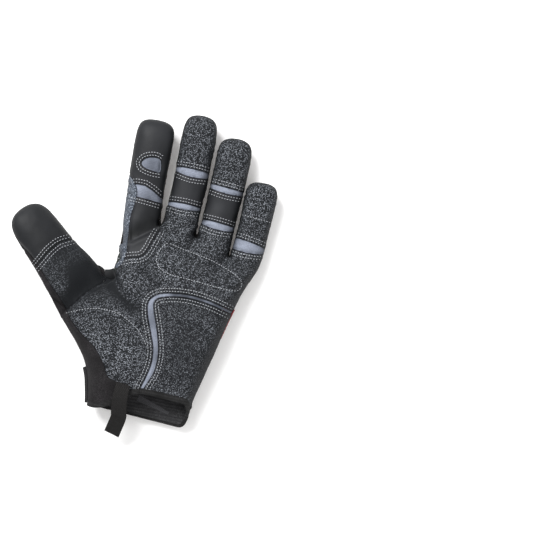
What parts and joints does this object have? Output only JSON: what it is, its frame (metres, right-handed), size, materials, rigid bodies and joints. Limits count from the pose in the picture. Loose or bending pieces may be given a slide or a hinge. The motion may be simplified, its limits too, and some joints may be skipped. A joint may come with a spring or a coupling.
{
  "type": "winch glove",
  "caption": "Left work glove for handling winch rope: leather palm with grey flex insets, knit back, wrist strap with a bare moulded badge, and a pull loop.",
  "frame": {"origin": "on the back of the hand, in the plane that the glove rests on, under the middle of the palm", "axes": "+X to the little finger's side, +Y to the fingertips, +Z out of the palm"},
  "size_m": [0.1972, 0.2593, 0.0395],
  "materials": {
    "black_leather": "grained, matt",
    "smooth_leather": "smooth, satin",
    "grey_panel": "plain stretch cloth, matt",
    "grey_texture": "grained, matt",
    "black_knit": "fine knit, matt",
    "knuckle_leather": "fine grain, matt",
    "red_leather": "smooth, matt",
    "webbing": "woven, matt",
    "moulded_black": "satin",
    "silver": "silvery satin",
    "moulded_grey": "satin",
    "moulded_red": "satin",
    "thread": "spun thread, matt",
    "lining": "brushed, matt",
    "elastic": "ribbed, matt"
  },
  "bodies": {
    "root": {"back_strip": "black_leather", "badge_base": "moulded_black", "badge_crescent": "silver", "badge_pad": "moulded_grey", "badge_plate": "moulded_red", "cuff_binding": "webbing", "finger_backs": "black_knit", "hand_back": "black_knit", "heel_panel": "black_leather", "index_back": "black_knit", "index_band": "black_leather", "index_base": "smooth_leather", "index_lower_inset": "grey_panel", "index_side": "grey_texture", "index_tip": "smooth_leather", "index_upper_inset": "grey_panel", "index_wrap": "black_leather", "knuckle_panel": "knuckle_leather", "middle_back": "black_knit", "middle_band": "black_leather", "middle_lower_inset": "grey_panel", "middle_pad": "smooth_leather", "middle_tip": "black_leather", "middle_upper_inset": "grey_panel", "middle_wrap": "black_leather", "palm_panel": "black_leather", "palm_piping": "grey_panel", "pinky_back": "black_knit", "pinky_band": "black_leather", "pinky_inset": "grey_panel", "pinky_tip": "black_leather", "pinky_wrap": "black_leather", "pull_loop": "webbing", "red_side_panel": "red_leather", "ring_back": "black_knit", "ring_band": "black_leather", "ring_lower_inset": "grey_panel", "ring_pad": "smooth_leather", "ring_tip": "black_leather", "ring_upper_inset": "grey_panel", "ring_wrap": "black_leather", "thumb_back": "black_knit", "thumb_gusset": "black_knit", "thumb_palm": "black_leather", "thumb_patch": "grey_texture", "thumb_tip": "smooth_leather", "thumb_wrap": "black_leather", "wrist_strap": "webbing"}
  },
  "joints": []
}
